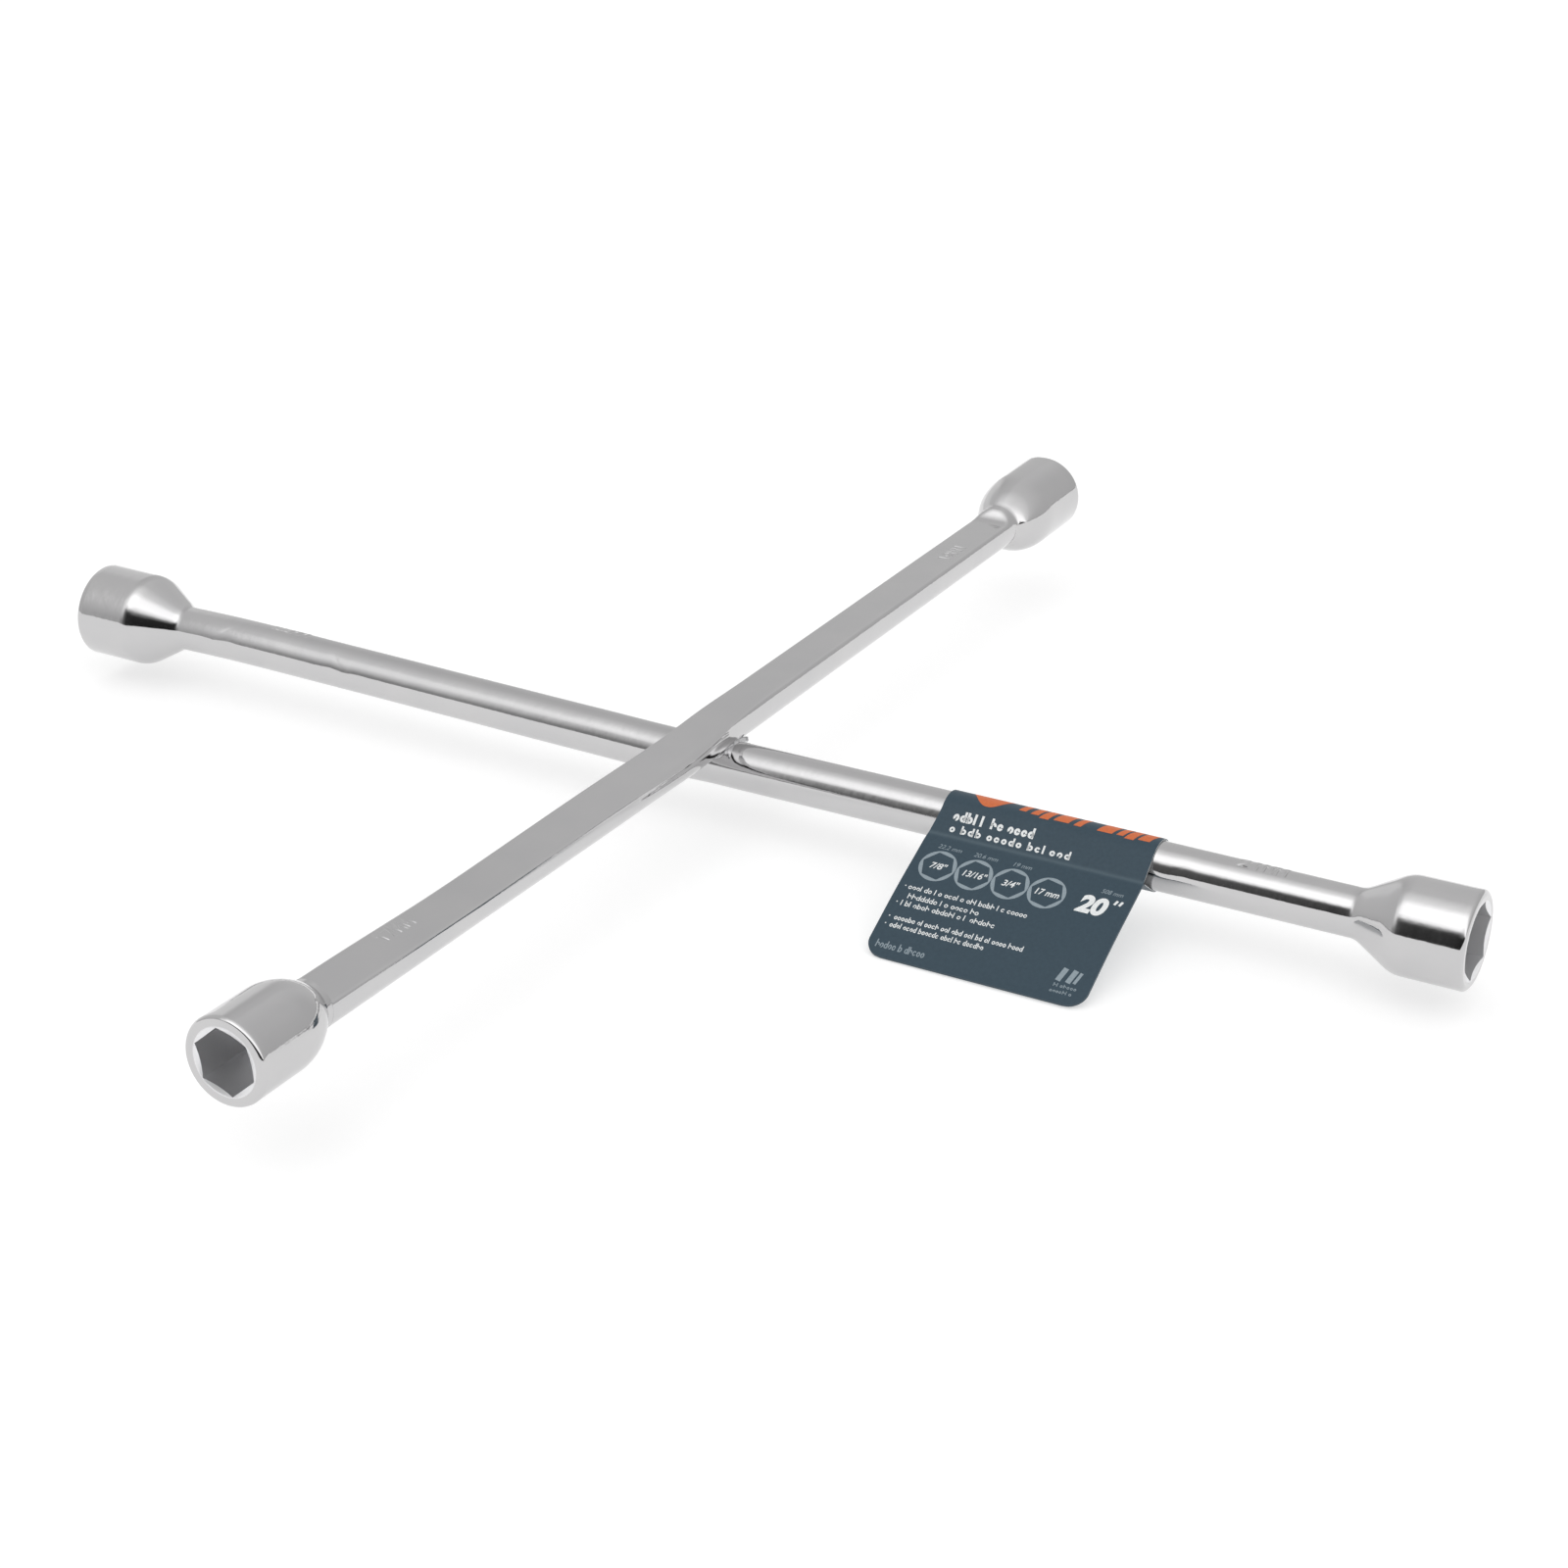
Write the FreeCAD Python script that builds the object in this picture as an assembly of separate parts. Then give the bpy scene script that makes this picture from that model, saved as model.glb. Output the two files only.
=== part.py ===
import FreeCAD, Part
import math
import os

# Four-way wheel wrench: two forged bars pressure-welded in a cross, with a folded card on one arm.
# Millimetres. +X runs along the lower bar, +Y along the upper bar, +Z is up.
# The origin is under the middle of both bars, level with the lowest point.

V = FreeCAD.Vector

# Bars
BAR_R = 7.75            # round stock, 15.5 mm across
HALF_LENGTH = 254.0     # each bar is 508 mm (20 in) long
BAR_SPACING = 11.4      # height of the upper bar's axis above the lower one's: the weld sinks it 4.1 mm
CROSS_X = 1.0           # the weld is this far off the lower bar's middle
CROSS_Y = -0.9          # and this far off the upper bar's middle
LOWER_RISE = 0.27       # each arm of the lower bar sweeps up by this angle, in degrees
UPPER_RISE = 0.70       # each arm of the upper bar

# Sockets
WALL = 3.25             # metal outside the hexagon's corners
HEX_PLAY = 0.1          # the hexagon is this much larger than the nut, across flats
HEX_DEPTH = 23.0
HEX_LEAD = 0.8          # depth of the conical lead-in at the mouth
LEAD_SLOPE = 2.4        # how fast the lead-in's radius shrinks with depth
LEAD_PLAY = 0.1         # the lead-in's radius at the mouth, over the hexagon's corners
LEAD_OVER = 0.2         # the cutting cone runs this far out of the mouth
FORGED_END = 120        # included angle of the hexagon's conical floor, in degrees
NUTS = {"left": 22.225, "right": 20.638, "near": 17.0, "far": 19.05}     # across flats
HEX_TURN = {"left": 10.0, "right": 43.0, "near": 12.1, "far": 0.0}       # of a corner from straight up
MOUTH_EDGE = {"left": 1.5, "right": 1.6, "near": 0.8, "far": 0.8}        # width of the mouth's bevel
MOUTH_BEVEL = 1.2       # and its length along the socket

# Shoulders between bar and socket: a straight cone on the lower bar, a rounded one on the upper bar
CONE_START = 217.0
CONE_RUN = 1.85         # length of the cone for each millimetre it widens
ROUND_SHOULDERS = {"near": (219.0, 15.0, 2.1), "far": (211.8, 20.0, 2.4)}   # start, length, power

# The pressed flat on the upper bar: place along the bar, tilt towards +X in degrees, height over the axis
FLAT = [(-217.5, 8.2, 3.6), (-155.0, 4.0, 2.4), (-60.0, 9.0, 2.8), (-16.0, 8.0, 3.0),
        (9.0, 0.0, 3.9), (150.0, 0.0, 3.9), (211.0, 0.0, 4.4)]
FLAT_BLOCK = 12.0       # size of the block that cuts the flat

# Weld metal
FLASH_R = 10.6          # the corner flash reaches this far from the weld's middle
FLASH_LOW = -2.0        # the corner flash spans these heights about the weld plane
FLASH_HIGH = 2.0
TONGUE_Y = (-7.4, 6.2)  # both ends of the folded tongue, along the upper bar
TONGUE = [(4.0, 5.0), (8.7, 5.6), (7.5, 9.4), (5.0, 10.0)]     # its section, across and up

# Card
BOARD = 0.5             # thickness of the board
CARD_PLAY = 0.3         # room between the bar and the loop
CARD_X = (82.4, 154.2)  # the card's two side edges, along the arm from the weld
CREASE_Y = -12.4        # the crease, measured from the bar's axis
CREASE_Z = -0.9
CREASE_GAP = 1.0        # the loop stops this far from the crease line
FLAP_GAP = 0.25         # and the leaves start this far from it
FLAP_LENGTH = 49.2
FLAP_SLOPE = 27.0       # degrees below level
FLAP_CORNER = 6.0

# Height of the lower bar's axis at the weld, so that the flap's edge is the lowest point, at Z = 0
AXIS_Z = (-CREASE_Z + FLAP_LENGTH * math.sin(math.radians(FLAP_SLOPE))
          + BOARD * math.cos(math.radians(FLAP_SLOPE))
          - (CARD_X[0] + FLAP_CORNER) * math.sin(math.radians(LOWER_RISE)))
WELD_PLANE = BAR_SPACING / 2


def hex_corner(arm):
    """Radius of the socket hexagon's corners."""
    return (NUTS[arm] + HEX_PLAY) / 2 / math.cos(math.radians(30))


def socket_r(arm):
    """Outer radius of the socket."""
    return hex_corner(arm) + WALL


def cone_shoulder(arm):
    """Outline points of a straight forged cone from the bar up to the socket."""
    top = socket_r(arm)
    start = CONE_START
    run = (top - BAR_R) * CONE_RUN
    return [V(start - 4, BAR_R, 0), V(start, BAR_R + 0.25, 0), V(start + 2, BAR_R + 1.1, 0),
            V(start + run - 2, top - 1.3, 0), V(start + run + 0.5, top - 0.3, 0), V(start + run + 4, top, 0)]


def round_shoulder(arm):
    """Outline points of a rounded shoulder, steep at the bar and flat at the socket."""
    top = socket_r(arm)
    start, run, power = ROUND_SHOULDERS[arm]
    points = [V(start - 3, BAR_R, 0)]
    for share in (0.06, 0.2, 0.4, 0.6, 0.8, 1.0):
        points.append(V(start + run * share, top - (top - BAR_R) * (1 - share) ** power, 0))
    return points


def arm_solid(arm, length):
    """One arm lying along +X from the weld: bar, shoulder and socket blank turned as one outline."""
    top = socket_r(arm)
    outline = round_shoulder(arm) if arm in ROUND_SHOULDERS else cone_shoulder(arm)
    curve = Part.BSplineCurve()
    curve.interpolate(outline)
    back = V(-6, BAR_R, 0)
    bevel = V(length - MOUTH_BEVEL, top, 0)
    rim = V(length, top - MOUTH_EDGE[arm], 0)
    edges = [Part.makeLine(V(-6, 0, 0), back), Part.makeLine(back, outline[0]), curve.toShape(),
             Part.makeLine(outline[-1], bevel), Part.makeLine(bevel, rim),
             Part.makeLine(rim, V(length, 0, 0)), Part.makeLine(V(length, 0, 0), V(-6, 0, 0))]
    return Part.Face(Part.Wire(edges)).revolve(V(0, 0, 0), V(1, 0, 0), 360)


def hexagon(radius, x, turn):
    """Hexagon wire across the arm at x, with a corner at the given turn from straight up."""
    points = []
    for k in range(7):
        angle = math.radians(turn + 60 * k)
        points.append(V(x, -radius * math.sin(angle), radius * math.cos(angle)))
    return Part.makePolygon(points)


def hex_cavity(arm, length):
    """The socket's hexagon, its conical lead-in and the conical floor left by the punch."""
    corner = hex_corner(arm)
    wire = hexagon(corner, length - HEX_DEPTH, HEX_TURN[arm])
    prism = Part.Face(wire).extrude(V(HEX_DEPTH + 1, 0, 0))
    lead_r = corner + LEAD_PLAY
    lead = Part.makeCone(lead_r - HEX_LEAD * LEAD_SLOPE, lead_r + LEAD_OVER * LEAD_SLOPE,
                         HEX_LEAD + LEAD_OVER, V(length - HEX_LEAD, 0, 0), V(1, 0, 0))
    flats_r = corner * math.cos(math.radians(30))
    floor_depth = flats_r / math.tan(math.radians(FORGED_END / 2))
    floor = Part.makeCone(flats_r, 0, floor_depth, V(length - HEX_DEPTH, 0, 0), V(-1, 0, 0))
    return prism.fuse([lead, floor])


def place_arm(shape, heading, rise):
    """Turn an arm from +X to its heading in degrees, with its far end lifted by the rise."""
    placed = shape.copy()
    placed.rotate(V(0, 0, 0), V(0, 1, 0), -rise)
    placed.rotate(V(0, 0, 0), V(0, 0, 1), heading)
    return placed


def half_space(heading):
    """A block over everything behind the weld, seen from an arm with this heading."""
    block = Part.makeBox(40, 80, 80, V(-40, -40, -40))
    block.rotate(V(0, 0, 0), V(0, 0, 1), heading)
    return block


def full_arm(arm, heading, rise, length):
    solid = arm_solid(arm, length).cut(hex_cavity(arm, length))
    return place_arm(solid, heading, rise).cut(half_space(heading))


def flat_section(y, tilt, height):
    """Rectangle across the upper bar whose lower side is the pressed flat."""
    level = abs(y) * math.tan(math.radians(UPPER_RISE))
    along = V(math.cos(math.radians(tilt)), 0, -math.sin(math.radians(tilt)))
    normal = V(math.sin(math.radians(tilt)), 0, math.cos(math.radians(tilt)))
    middle = V(0, y, level) + normal * height
    low_left = middle - along * FLAT_BLOCK
    low_right = middle + along * FLAT_BLOCK
    lift = normal * FLAT_BLOCK
    return Part.makePolygon([low_left, low_right, low_right + lift, low_left + lift, low_left])


def flat_cutter():
    """The metal pressed away above the flat, lofted through its sections."""
    sections = [flat_section(*station) for station in FLAT]
    return Part.makeLoft(sections, True, True)


def over_bar():
    near = full_arm("near", -90, UPPER_RISE, HALF_LENGTH + CROSS_Y)
    far = full_arm("far", 90, UPPER_RISE, HALF_LENGTH - CROSS_Y)
    bar = near.fuse(far).removeSplitter().cut(flat_cutter())
    bar.translate(V(0, 0, BAR_SPACING))
    return bar


def under_bar():
    left = full_arm("left", 180, LOWER_RISE, HALF_LENGTH + CROSS_X)
    right = full_arm("right", 0, LOWER_RISE, HALF_LENGTH - CROSS_X)
    return left.fuse(right).removeSplitter()


def weld_halves(over, under):
    """Share the overlap of the two bars at the weld plane, so that they meet without overlapping."""
    size = 4 * BAR_R
    below = Part.makeBox(size, size, size, V(-size / 2, -size / 2, WELD_PLANE - size))
    above = Part.makeBox(size, size, size, V(-size / 2, -size / 2, WELD_PLANE))
    return over.cut(under.common(below)), under.cut(over.common(above))


def tongue(over, under):
    """Metal squeezed out beside the weld and folded down over the lower bar."""
    points = [V(x, TONGUE_Y[0], z) for x, z in TONGUE]
    face = Part.Face(Part.makePolygon(points + points[:1]))
    wedge = face.extrude(V(0, TONGUE_Y[1] - TONGUE_Y[0], 0))
    return wedge.cut(over).cut(under)


def flash(over, under, fold):
    """Weld metal in the corners between the bars."""
    disc = Part.makeCylinder(FLASH_R, FLASH_HIGH - FLASH_LOW, V(0, 0, WELD_PLANE + FLASH_LOW))
    disc = disc.makeChamfer(1.2, disc.Edges[:1] + disc.Edges[2:])
    return disc.cut(over).cut(under).cut(fold)


def loop_wire(radius, x):
    """Outline of the loop: round the bar, with two straight leaves running out to the crease."""
    reach = math.hypot(CREASE_Y, CREASE_Z)
    spread = math.acos(radius / reach)
    facing = math.atan2(CREASE_Z, CREASE_Y)
    upper = facing - spread
    lower = facing + spread
    behind = facing + math.pi
    p_up = V(x, radius * math.cos(upper), radius * math.sin(upper))
    p_low = V(x, radius * math.cos(lower), radius * math.sin(lower))
    p_back = V(x, radius * math.cos(behind), radius * math.sin(behind))
    tip = V(x, CREASE_Y, CREASE_Z)
    return Part.Wire([Part.makeLine(tip, p_up), Part.Arc(p_up, p_back, p_low).toShape(),
                      Part.makeLine(p_low, tip)])


def on_arm(shape):
    """Lift a shape with the right arm, which rises slightly."""
    shape.rotate(V(0, 0, 0), V(0, 1, 0), -LOWER_RISE)
    return shape


def card_sleeve():
    inner_r = BAR_R + CARD_PLAY
    width = CARD_X[1] - CARD_X[0]
    outer = Part.Face(loop_wire(inner_r + BOARD, CARD_X[0]))
    inner = Part.Face(loop_wire(inner_r, CARD_X[0]))
    loop = outer.cut(inner).extrude(V(width, 0, 0))
    crease = Part.makeCylinder(CREASE_GAP, width, V(CARD_X[0], CREASE_Y, CREASE_Z), V(1, 0, 0))
    return on_arm(loop.cut(crease))


def card_flap():
    width = CARD_X[1] - CARD_X[0]
    flap = Part.makeBox(width, FLAP_LENGTH - FLAP_GAP, 2 * BOARD, V(CARD_X[0], -FLAP_LENGTH, -BOARD))
    corners = [e for e in flap.Edges if e.BoundBox.ZLength > BOARD and e.BoundBox.YMax < -FLAP_LENGTH + 1]
    flap = flap.makeFillet(FLAP_CORNER, corners)
    flap.rotate(V(0, 0, 0), V(1, 0, 0), FLAP_SLOPE)
    flap.translate(V(0, CREASE_Y, CREASE_Z))
    return on_arm(flap)


def main():
    os.makedirs("parts", exist_ok=True)
    over, under = weld_halves(over_bar(), under_bar())
    fold = tongue(over, under)
    nodes = {"over_bar": over, "under_bar": under, "flash_tongue": fold,
             "weld_flash": flash(over, under, fold),
             "card_sleeve": card_sleeve(), "card_flap": card_flap()}
    for name, shape in nodes.items():
        shape.translate(V(CROSS_X, CROSS_Y, AXIS_Z))
        solids = shape.Solids
        print(name, len(solids), "solids, valid:", shape.isValid(), shape.BoundBox)
        solid = solids[0] if len(solids) == 1 else Part.makeCompound(solids)
        solid.exportStep("parts/" + name + ".step")


main()
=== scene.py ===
import bpy
import math
import numpy as np
from mathutils import Matrix, Vector


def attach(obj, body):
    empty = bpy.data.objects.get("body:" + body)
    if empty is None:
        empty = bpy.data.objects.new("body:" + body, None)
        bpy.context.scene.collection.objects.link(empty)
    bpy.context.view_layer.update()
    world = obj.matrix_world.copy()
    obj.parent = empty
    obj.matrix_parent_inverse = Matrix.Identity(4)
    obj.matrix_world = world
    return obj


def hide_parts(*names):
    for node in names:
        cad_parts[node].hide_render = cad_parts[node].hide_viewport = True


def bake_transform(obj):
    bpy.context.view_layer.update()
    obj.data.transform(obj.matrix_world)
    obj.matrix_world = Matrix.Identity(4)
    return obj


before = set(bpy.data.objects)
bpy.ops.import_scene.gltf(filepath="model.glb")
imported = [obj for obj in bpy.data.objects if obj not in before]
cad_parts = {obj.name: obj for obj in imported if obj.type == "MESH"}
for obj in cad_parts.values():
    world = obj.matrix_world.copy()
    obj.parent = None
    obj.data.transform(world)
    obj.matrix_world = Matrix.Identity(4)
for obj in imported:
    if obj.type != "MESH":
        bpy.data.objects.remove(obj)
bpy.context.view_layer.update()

# Four-way wheel wrench: two forged and chromed bars welded in a cross, with a printed card over one arm.
# Shapes are worked out in millimetres and become metres when their meshes are made.
# +X runs along the lower bar, +Y along the upper bar, +Z is up.

MM = 0.001

# Bars
BAR_R = 7.75
BAR_SPACING = 11.4                       # the upper bar's axis above the lower one's
WELD = np.array([1.0, -0.9, 23.265])     # the point of the lower bar's axis under the weld
WELD_PLANE = BAR_SPACING / 2
KINK = 12.0                              # the arms' slight rise starts within this distance of the weld
COLUMNS = 144
STEP = 360 / COLUMNS

# The left arm's slight waviness: place along the lower bar, and height over the straight axis
SWEEP_PLACES = [-255.0, -226.0, -200.0, -150.0, -100.0, -50.0, -8.0, 0.0]
SWEEP_HEIGHTS = [0.0, 0.1, 0.65, 0.5, 0.1, -0.3, -0.3, 0.0]

# Sockets: nut across flats, turn of the hexagon from straight up, width of the mouth's edge, arm length
SOCKETS = {"left": (22.225, 10.0, 1.5, 255.0), "right": (20.638, 43.0, 1.6, 253.0),
           "near": (17.0, 12.1, 0.8, 253.1), "far": (19.05, 0.0, 0.8, 254.9)}
NUT_PLAY = 0.1
WALL = 3.25
HEX_DEPTH = 23.0
MOUTH_BEVEL = 1.2
LEAD_SLOPE = 2.4                         # how fast the conical lead-in narrows with depth
LEAD_PLAY = 0.1                          # its radius at the mouth, over the hexagon's corners
FLOOR_CONE = 0.55                        # depth of the hexagon's conical floor, as a share of its half width

# Shoulders: start, length and power of the rounded ones on the upper bar; a straight cone on the lower bar
ROUND_SHOULDERS = {"near": (219.0, 15.0, 2.1), "far": (211.8, 20.0, 2.4)}
CONE_START = 217.8
CONE_SLOPE = 0.585

# The pressed flat on the upper bar: place along the bar, tilt towards +X in degrees, height over the axis
FLAT_PLACES = [-230.0, -205.0, -155.0, -100.0, -70.0, -32.0, -14.0, 10.0, 40.0, 150.0, 205.0, 230.0]
FLAT_TILTS = [8.5, 8.5, 3.6, 6.7, 8.7, 10.8, 7.5, 1.0, 0.0, 0.0, 0.0, 0.0]
FLAT_HEIGHTS = [3.7, 3.5, 2.3, 2.7, 2.9, 2.75, 3.15, 3.8, 3.9, 3.9, 3.9, 3.9]
FLAT_END = 217.5                         # the flat stops this far down the near arm
FLAT_LIFT = 14.0                         # at its ends it rises by this much, clear of the metal
FAR_ARM_HIGH = 0.85                      # the far arm's axis is this high over straight next to the weld
PRESSED_OUT = 0.4                        # the far arm's side stands out this much along the flat
LIP_HEIGHT = 0.6                         # lip, groove and hollow next to the weld
GROOVE_DEPTH = 0.9
HOLLOW_DEPTH = 0.9

# Stamped size figures: text, middle of the word along the bar, and its place across: millimetres to the left
# of the flat's middle on the upper bar, degrees round the lower bar
STAMPS = {"near": ("17MM", -174.7, 3.3), "far": ("19MM", 168.0, -1.4),
          "left": ("22MM", -172.0, -12.0), "right": ("21MM", 187.0, 0.0)}
STAMP_HEIGHT = 4.6
FIGURE_PITCH = 0.84                      # from one figure to the next, for figures 1 high
FIGURE_GAP = 0.22
STAMP_COLUMNS = 42.0                     # the lower bar's columns gather this many degrees beside the figures
STAMP_REACH = 20.0                       # no figure is further than this from its word's middle
CREASE_DEPTH = 0.5                       # of the forging crease on the right shoulder
STAMP_DEPTH = 0.28
STAMP_STROKE = 0.65

# Card
BOARD = 0.45
FLAP_BOW = 0.5                           # the middle of the flap stands this far off a straight line
LEAF_GAP = 0.02                          # between the two glued leaves
LOOP_R = 8.08                            # middle of the board round the bar
CARD_START = 82.4
CARD_WIDTH = 71.8
CREASE = np.array([-12.4, -0.9])         # across and up from the bar's axis
FLAP_LENGTH = 48.7
FLAP_SLOPE = math.radians(27.0)
FLAP_CORNER = 6.0
ARM_RISE = math.tan(math.radians(0.27))  # of the lower bar
UPPER_RISE = math.tan(math.radians(0.70))
PRINT_LIFT = 0.03                        # the ink's surface stands this far off the board
LEFT_EDGE_ASKEW = 1.4                    # the loop's left edge is cut back this far

FLOOR_HALF = 6000.0

random = np.random.default_rng(7)        # draws the shapes of the small marks on the card


# ---------------------------------------------------------------- curves

def ease(low, high, x):
    """0 below low, 1 above high, and a smooth step between them."""
    t = np.clip((x - low) / (high - low), 0, 1)
    return t * t * (3 - 2 * t)


def soft_min(a, b, width):
    """The smaller of two curves, with their crossing rounded over the given width."""
    near = np.clip(width - np.abs(a - b), 0, None) / width
    return np.minimum(a, b) - near * near * width / 4


def soft_max(a, b, width):
    return -soft_min(-a, -b, width)


def through(x, places, values):
    """A smooth curve through the given places, in cubic pieces whose slopes are the neighbours' mean."""
    places = np.array(places)
    values = np.array(values)
    slopes = np.gradient(values, places)
    i = np.clip(np.searchsorted(places, x) - 1, 0, len(places) - 2)
    span = places[i + 1] - places[i]
    t = np.clip((x - places[i]) / span, 0, 1)
    return ((1 + 2 * t) * (1 - t) ** 2 * values[i] + t * (1 - t) ** 2 * span * slopes[i]
            + t * t * (3 - 2 * t) * values[i + 1] + t * t * (t - 1) * span * slopes[i + 1])


# ---------------------------------------------------------------- meshes

def tube(rings, close):
    """Vertices and faces of a tube through the rings (ring, place round it, xyz). Its ends are closed by a
    point in the middle (close is "point") or by joining the ring's two sides ("seam")."""
    count, around, _ = rings.shape
    points = rings.reshape(-1, 3)
    i, j = np.meshgrid(np.arange(count - 1), np.arange(around), indexing="ij")
    k = (j + 1) % around
    quads = np.stack([i * around + j, i * around + k, (i + 1) * around + k, (i + 1) * around + j], -1)
    faces = quads.reshape(-1, 4).tolist()
    last = (count - 1) * around
    if close == "point":
        points = np.vstack([points, rings[0].mean(0), rings[-1].mean(0)])
        first_tip = count * around
        j = np.arange(around)
        k = (j + 1) % around
        faces += np.stack([k, j, np.full(around, first_tip)], -1).tolist()
        faces += np.stack([last + j, last + k, np.full(around, first_tip + 1)], -1).tolist()
    else:
        j = np.arange(around // 2 - 1)
        strip = np.stack([j, j + 1, around - 2 - j, around - 1 - j], -1)
        faces += strip[:, ::-1].tolist() + (last + strip).tolist()
    return points, faces


def outward(points, faces):
    """The faces turned so that they look outwards: the volume they enclose must be positive."""
    corners = np.array([face[:3] for face in faces])
    others = np.array([[face[0], face[-2], face[-1]] for face in faces])
    volume = 0
    for tri in (corners, others):
        a, b, c = points[tri[:, 0]], points[tri[:, 1]], points[tri[:, 2]]
        weight = 1.0
        if tri is others:
            weight = np.array([float(len(face) > 3) for face in faces])
        volume += np.sum(weight * np.einsum("ij,ij->i", a, np.cross(b, c)))
    if volume < 0:
        return [face[::-1] for face in faces]
    return faces


def make_piece(name, points, faces, material, sharp=35, **amounts):
    """A finished mesh object from points in millimetres, with named amounts for each vertex where given."""
    mesh = bpy.data.meshes.new(name)
    mesh.from_pydata((points * MM).tolist(), [], faces)
    for label, values in amounts.items():
        attribute = mesh.attributes.new(label, "FLOAT", "POINT")
        attribute.data.foreach_set("value", np.asarray(values, np.float32).ravel())
    mesh.shade_smooth()
    mesh.set_sharp_from_angle(angle=math.radians(sharp))
    mesh.materials.append(material)
    piece = bpy.data.objects.new(name, mesh)
    bpy.context.collection.objects.link(piece)
    return piece


# ---------------------------------------------------------------- the forged bars

def hex_radius(corner, angle, turn):
    """Distance from the middle of a hexagon to its side, in a direction given in degrees."""
    within = np.mod(angle - turn, 60) - 30
    return corner * math.cos(math.radians(30)) / np.cos(np.radians(within))


def socket_sizes(arm):
    nut, turn, edge, length = SOCKETS[arm]
    corner = (nut + NUT_PLAY) / 2 / math.cos(math.radians(30))
    return corner, corner + WALL, turn, edge, length


def outside_radius(arm, s):
    """Outer radius along an arm: round bar, forged shoulder, socket."""
    top = socket_sizes(arm)[1]
    if arm in ROUND_SHOULDERS:
        start, run, power = ROUND_SHOULDERS[arm]
        t = np.clip((s - start) / run, 0, 1)
        return BAR_R + (top - BAR_R) * (1 - (1 - t) ** power)
    cone = soft_max(BAR_R, BAR_R + (s - CONE_START) * CONE_SLOPE, 1.0)
    return soft_min(cone, top, 1.6)


def arm_outline(arm):
    """One arm's stations, from the bottom of the hexagon to the mouth, over the edge and back to the weld.
    Returns place along the arm and radius for each station and column, each column's angle at the socket, and
    whether the station is inside the socket."""
    corner, top, turn, edge, length = socket_sizes(arm)
    side = 1 if arm in ("far", "right") else -1
    columns = -180 + STEP * np.arange(COLUMNS)
    hex_turn = side * turn
    snapped = columns + hex_turn - STEP * round(hex_turn / STEP)
    hexagon = hex_radius(corner, snapped, hex_turn)
    apothem = corner * math.cos(math.radians(30))
    mouth = corner + LEAD_PLAY
    lead_depth = (mouth - hexagon) / LEAD_SLOPE
    bottom = length - HEX_DEPTH
    rim = top - edge
    same = np.ones(COLUMNS)
    places = []
    radii = []

    def station(place, radius):
        places.append(place * same)
        radii.append(radius * same)

    for t in (0.08, 0.35, 0.7, 1.0):
        station(bottom - apothem * FLOOR_CONE * (1 - t), apothem * t * 0.97)
    for t in (0.5, 1.0):
        station(bottom, apothem * 0.97 * (1 - t) + hexagon * t)
    for t in np.linspace(0.04, 1, 12):
        station(bottom + (HEX_DEPTH - lead_depth) * t, hexagon)
    for t in (0.12, 0.4, 0.7, 0.93):
        station(length - lead_depth * (1 - t), hexagon + (mouth - hexagon) * t)
    inside_count = len(places)
    for t in (0.1, 0.5, 0.93):
        station(length - 0.12 * (1 - t) ** 4, mouth + 0.12 + (rim - mouth - 0.12) * t)
    for t in np.linspace(0.04, 1, 9):
        arc = t * math.pi / 2
        across = 0.6 * math.sin(arc) + 0.4 * t
        down = 0.6 * (1 - math.cos(arc)) + 0.4 * t
        station(length - MOUTH_BEVEL * down, rim + edge * across)
    outer = list(np.arange(length - MOUTH_BEVEL - 1.5, 239, -3.0)) + list(np.arange(237, 206, -0.75))
    word, middle, _ = STAMPS[arm]
    half = len(word) * STAMP_HEIGHT * FIGURE_PITCH / 2 + 1
    outer += [s for s in np.arange(205, 0, -2.5) if abs(s - abs(middle)) > half]
    outer += list(np.arange(11.8, 0.1, -0.6))
    outer += list(np.linspace(abs(middle) - half, abs(middle) + half, 92))
    if arm == "near":
        outer += list(FLAT_END + np.arange(-1.2, 1.5, 0.25)) + list(np.arange(76.25, 12, -2.5))
    for s in sorted(outer, reverse=True):
        station(s, outside_radius(arm, s))
    places = np.array(places)
    radii = np.array(radii)
    hollow = (np.arange(len(places)) < inside_count)[:, None] * same
    return places, radii, snapped, hollow


def flat_shape(s):
    """Tilt and height of the upper bar's flat along the bar; at both ends it runs out of the metal."""
    tilt = through(s, FLAT_PLACES, FLAT_TILTS)
    height = through(s, FLAT_PLACES, FLAT_HEIGHTS)
    height = height + FLAT_LIFT * ease(1 - FLAT_END, -1 - FLAT_END, s) + FLAT_LIFT * ease(204, 220, s)
    return tilt, height


def follow_edges(columns, middle, half):
    """Turn evenly spaced columns so that some lie along both edges of a flat, close together there."""
    away = np.abs(columns)
    close = 2.6
    inner = away / 65 * (half - close)
    edge = half - close + (away - 65) / 15 * 2 * close
    outer = half + close + (away - 80) / 100 * (180 - half - close)
    turned = np.where(away < 65, inner, np.where(away < 80, edge, outer))
    return middle + np.sign(columns) * turned


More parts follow.
